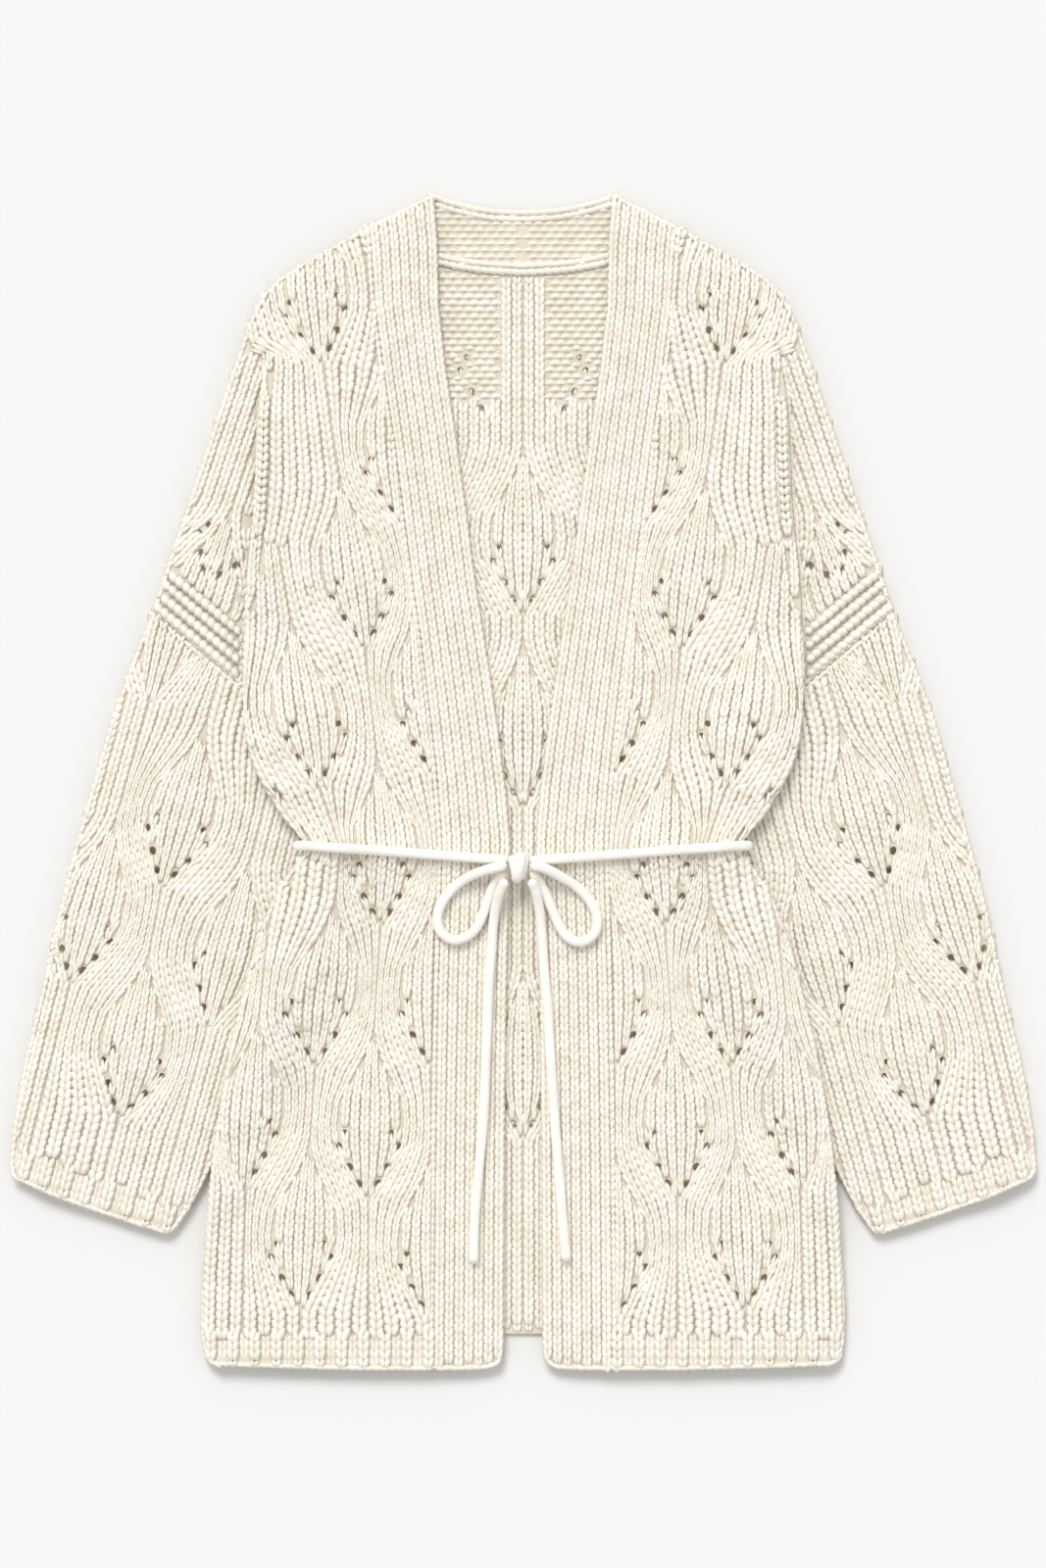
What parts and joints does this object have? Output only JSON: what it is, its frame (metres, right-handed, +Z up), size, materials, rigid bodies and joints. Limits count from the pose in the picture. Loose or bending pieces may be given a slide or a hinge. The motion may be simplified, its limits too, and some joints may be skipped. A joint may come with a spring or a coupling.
{
  "type": "wrap cardigan",
  "caption": "Chunky lace-knit wrap cardigan with dropped shoulders, full sleeves, front bands and a cord belt in a bow, laid flat",
  "frame": {"origin": "centre of the part's box in plan, on the surface that the garment lies on", "axes": "+X towards the wearer's left, +Y from the hem to the collar, +Z up from the surface, out of the garment's front"},
  "size_m": [0.7516, 0.8618, 0.0351],
  "materials": {
    "wool_knit": "bulky cream wool knit, matt",
    "knitted_cord": "round knitted cream wool cord, matt"
  },
  "bodies": {
    "root": {"back": "wool_knit", "front_left": "wool_knit", "front_right": "wool_knit", "band_left": "wool_knit", "band_right": "wool_knit", "neck_band": "wool_knit", "sleeve_left_upper": "wool_knit", "sleeve_left_under": "wool_knit", "sleeve_right_upper": "wool_knit", "sleeve_right_under": "wool_knit", "belt_back": "knitted_cord", "belt_left": "knitted_cord", "belt_right": "knitted_cord", "belt_knot": "knitted_cord", "bow_left": "knitted_cord", "bow_right": "knitted_cord", "tie_left": "knitted_cord", "tie_right": "knitted_cord"}
  },
  "joints": []
}
